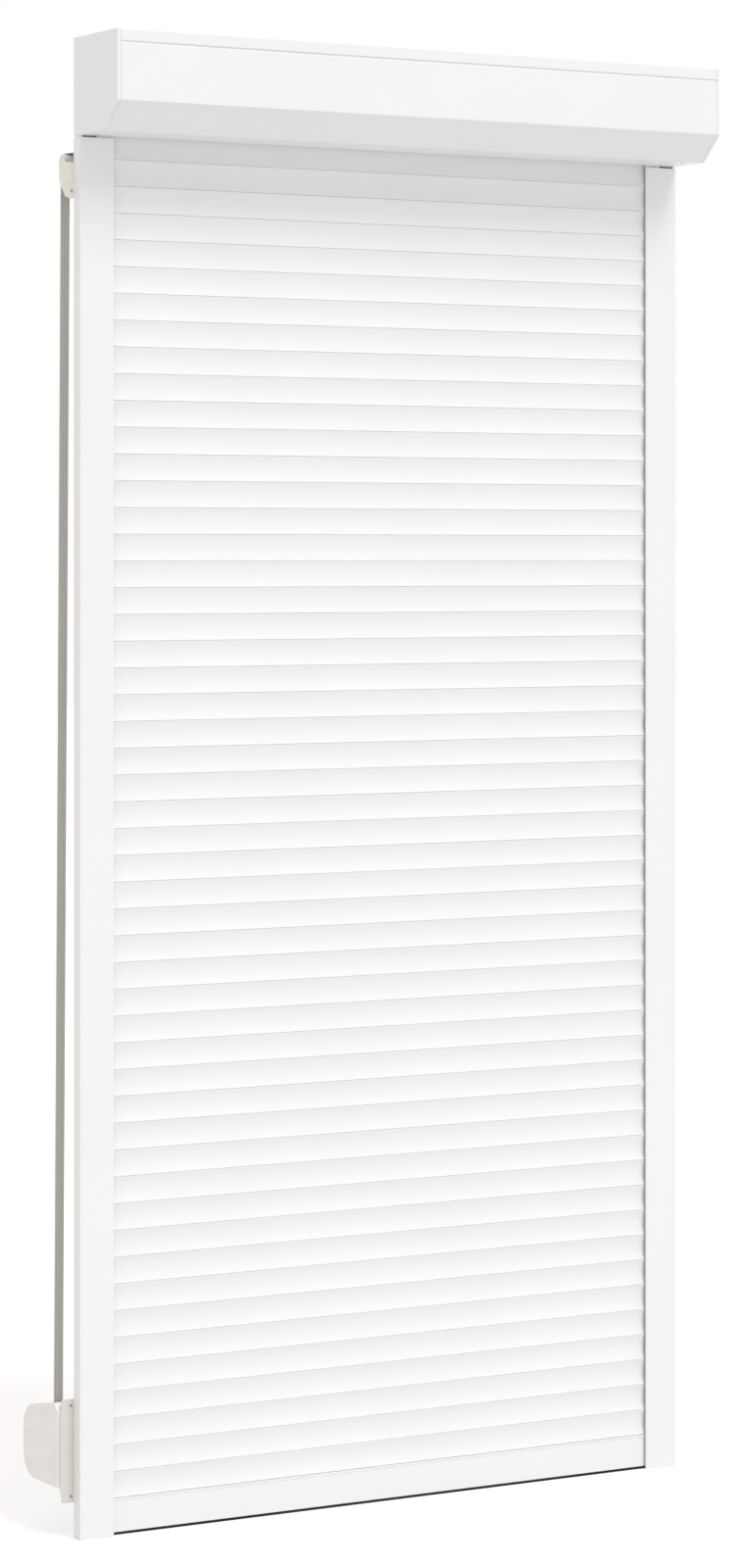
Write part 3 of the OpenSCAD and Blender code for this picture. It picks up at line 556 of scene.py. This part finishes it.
def make_tape():
    low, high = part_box("box_front_cover")
    start, bottom = low.y + TAPE_BACK, high.z + TAPE_GAP
    section = [(start, bottom), (start + TAPE_W, bottom),
               (start + TAPE_W, bottom + TAPE_T), (start, bottom + TAPE_T)]
    piece("box_seam_tape", [extruded(section, low.x, high.x)], white_plastic, "frame")


# Cover screws

SCREW_POINTS = 64
CROWN_H, CROWN_STEPS = 1.1 * MM, 5
SHANK_R = 1.8 * MM
RECESS_HALF, RECESS_ARM = 0.5 * MM, 1.9 * MM
RECESS_DEPTH, RECESS_TAPER = 1.2 * MM, 0.6


def cross_radius(turn):
    """Distance from the middle to the edge of a cross recess, in the direction of an angle."""
    off_arm = abs((turn + math.pi / 4) % (math.pi / 2) - math.pi / 4)
    return min(RECESS_ARM / math.cos(off_arm), RECESS_HALF / max(math.sin(off_arm), 1e-6))


def stacked(rings):
    """Vertices and faces of a closed solid from rings of points, one above the other."""
    count = len(rings[0])
    faces = [(base + i, base + (i + 1) % count, base + count + (i + 1) % count, base + count + i)
             for base in range(0, count * (len(rings) - 1), count) for i in range(count)]
    last = count * (len(rings) - 1)
    faces += [tuple(range(count)), tuple(range(last, last + count))]
    return [point for ring in rings for point in ring], faces


def screw(x, y, seat, shank_top, head_low, head_r):
    """Pan head screw, head down, with a cross recess."""
    turns = [math.tau * i / SCREW_POINTS for i in range(SCREW_POINTS)]

    def ring(radius_at, z):
        return [(x + radius_at(a) * math.cos(a), y + radius_at(a) * math.sin(a), z) for a in turns]

    rings = [ring(lambda a: SHANK_R, shank_top), ring(lambda a: SHANK_R, seat),
             ring(lambda a: head_r, seat)]
    for step in range(CROWN_STEPS + 1):
        lean = math.pi / 2 * step / CROWN_STEPS
        radius = head_r - CROWN_H * (1 - math.cos(lean))
        rings.append(ring(lambda a, r=radius: r, head_low + CROWN_H * (1 - math.sin(lean))))
    rings.append(ring(cross_radius, head_low))
    rings.append(ring(lambda a: RECESS_TAPER * cross_radius(a), head_low + RECESS_DEPTH))
    return stacked(rings)


def make_screws():
    low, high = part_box("cover_screws")
    head_r = (high.y - low.y) / 2
    screws = [screw(x, (low.y + high.y) / 2, BOX_BOTTOM, high.z, low.z, head_r)
              for x in (low.x + head_r, high.x - head_r)]
    made = piece("cover_screws_shaped", screws, zinc_steel, "frame")
    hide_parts("cover_screws")


# Strap

STRAP_W, STRAP_T = 14 * MM, 1 * MM
STRAP_CLEAR = 0.3 * MM
OUTLET = Vector((middle("disc_winding").x, 4.5 * MM, -48 * MM))
RUN_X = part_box("guide_rail_left")[0].x + 9.5 * MM
OUTLET_BEND, ENTRY_BEND = 4 * MM, 20 * MM
ENTRY_BACK, ENTRY_H = 3 * MM, 62 * MM
BEND_STEPS = 8
RIBS = 4
RIB_H = 0.12 * MM
RIB_POINTS = 8
EDGE_SHARE = 1 / 8
EDGE_THIN = 0.55


def half_height(name):
    low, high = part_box(name)
    return (high.z - low.z) / 2


def strap_route():
    """Middle line of the strap from the disc through the guide to the reel, with round bends."""
    disc, roller, reel = middle("disc_winding"), middle("guide_roller"), middle("reel_winding")
    off = STRAP_CLEAR + STRAP_T / 2
    disc_r, roller_r, reel_r = (
        half_height(name) + off for name in ("disc_winding", "guide_roller", "reel_winding"))
    to_outlet = Vector((OUTLET.y - disc.y, OUTLET.z - disc.z))
    leave = math.atan2(to_outlet.y, to_outlet.x) - math.acos(disc_r / to_outlet.length)
    start = Vector((disc.x, disc.y + disc_r * math.cos(leave), disc.z + disc_r * math.sin(leave)))
    corners = [start, OUTLET, Vector((RUN_X, OUTLET.y, roller.z + roller_r)),
               Vector((roller.x, roller.y + roller_r, roller.z + roller_r)),
               Vector((reel.x, reel.y - reel_r - ENTRY_BACK, reel.z + ENTRY_H)),
               Vector((reel.x, reel.y - reel_r, reel.z))]
    bends = [OUTLET_BEND, OUTLET_BEND, roller_r, ENTRY_BEND]
    route = [corners[0]]
    for i, radius in enumerate(bends):
        route += bend(corners[i], corners[i + 1], corners[i + 2], radius)
    return route + [corners[-1]]


def bend(before, corner, after, radius):
    """Points of a round bend at a corner of a route."""
    a = (corner - before).normalized()
    b = (after - corner).normalized()
    cut = radius * (a - b).length / (a + b).length
    shares = [step / BEND_STEPS for step in range(BEND_STEPS + 1)]
    return [corner + cut * (b * share ** 2 - a * (1 - share) ** 2) for share in shares]


def strap_section():
    """Cross-section of the strap: warp ribs on both faces, thin edges."""
    count = RIB_POINTS * RIBS
    face = []
    for i in range(count + 1):
        t = i / count
        edge = min(1, min(t, 1 - t) / EDGE_SHARE)
        half = (STRAP_T / 2 - RIB_H) * (EDGE_THIN + (1 - EDGE_THIN) * edge)
        half += RIB_H * (0.5 - 0.5 * math.cos(2 * math.pi * RIBS * t)) * edge
        face.append(((t - 0.5) * STRAP_W, half))
    return face + [(a, -n) for a, n in reversed(face)]


def make_strap():
    route, section = strap_route(), strap_section()
    count, last = len(section), len(route) - 1
    verts, distance = [], []
    for i, p in enumerate(route):
        along = (route[min(i + 1, last)] - route[max(i - 1, 0)]).normalized()
        across = (X_AXIS - along * along.x).normalized()
        normal = along.cross(across)
        verts += [tuple(p + across * a + normal * n) for a, n in section]
        distance.append(distance[-1] + (p - route[i - 1]).length if i else 0.0)
    faces = [(count * i + k, count * i + (k + 1) % count, count * (i + 1) + (k + 1) % count,
              count * (i + 1) + k) for i in range(last) for k in range(count)]
    faces += [tuple(range(count)), tuple(range(count * (last + 1) - 1, count * last - 1, -1))]
    made = piece("woven_strap", [(verts, faces)], strap_webbing, "frame")
    uv = made.data.uv_layers.new(name="strap")
    for loop in made.data.loops:
        ring, k = divmod(loop.vertex_index, count)
        uv.data[loop.index].uv = (section[k][0], distance[ring])
    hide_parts("strap")


# CAD nodes

WELD_WITHIN = 0.002 * MM
FLAT_BELOW = math.radians(0.5)
ROUND_ABOVE = math.radians(32)


def dress(name, finish, edge=0.0, segments=2):
    """Gives a CAD node its finish and rounds its edges."""
    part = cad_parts[name]
    part.data.materials.clear()
    part.data.materials.append(finish)
    part.data.shade_smooth()
    weld = part.modifiers.new("weld", "WELD")
    weld.merge_threshold = WELD_WITHIN
    flat = part.modifiers.new("flat", "DECIMATE")
    flat.decimate_type = "DISSOLVE"
    flat.angle_limit = FLAT_BELOW
    if edge:
        bevel = part.modifiers.new("edge", "BEVEL")
        bevel.width = edge
        bevel.segments = segments
        bevel.limit_method = "ANGLE"
        bevel.angle_limit = ROUND_ABOVE
        bevel.harden_normals = True
    normals = part.modifiers.new("normals", "WEIGHTED_NORMAL")
    normals.keep_sharp = True


def dress_nodes():
    for name in ("box_top_shell", "box_front_cover"):
        dress(name, sheet_coat, 0.3 * MM)
    for side in ("left", "right"):
        dress(f"end_cap_{side}", cap_coat, 0.7 * MM)
        dress(f"guide_rail_{side}", rail_coat, 0.5 * MM)
        dress(f"rail_seals_{side}", brush_pile)
        dress(f"inlet_funnel_{side}", white_plastic, 0.4 * MM)
        dress(f"bearing_{side}", zinc_steel, 0.4 * MM)
        dress(f"shaft_pin_{side}", zinc_steel, 0.5 * MM)
    dress("shaft_tube", galvanised_steel, 0.3 * MM)
    dress("strap_disc", white_plastic, 0.4 * MM)
    dress("shaft_capsule", grey_plastic, 0.5 * MM)
    dress("suspension_strips", galvanised_steel)
    dress("end_slat", slat_coat, 0.5 * MM, 3)
    dress("end_slat_seal", black_rubber, 0.3 * MM)
    dress("end_slat_caps", grey_plastic, 0.4 * MM)
    dress("strap_guide_housing", cream_plastic, 0.6 * MM)
    dress("guide_roller", white_plastic, 0.5 * MM)
    dress("guide_roller_pin", zinc_steel, 0.3 * MM)
    # Plate colour carries painted shade of its recessed face as well as its beige tone.
    dress("recoiler_plate", beige_plastic, 0.6 * MM)
    dress("recoiler_base", recoiler_plastic, 0.8 * MM, 3)
    dress("recoiler_cover", recoiler_plastic, 0.8 * MM, 3)
    dress("recoiler_reel", white_plastic, 0.4 * MM)
    dress("recoiler_axle", zinc_steel, 0.4 * MM)
    dress("recoiler_spring", galvanised_steel)
    dress("disc_winding", roll_webbing, 0.4 * MM)
    dress("reel_winding", roll_webbing, 0.4 * MM)


make_camera()
make_stage()
dress_nodes()
make_curtain()
make_tape()
make_screws()
make_strap()
bpy.context.scene.view_settings.view_transform = "Standard"
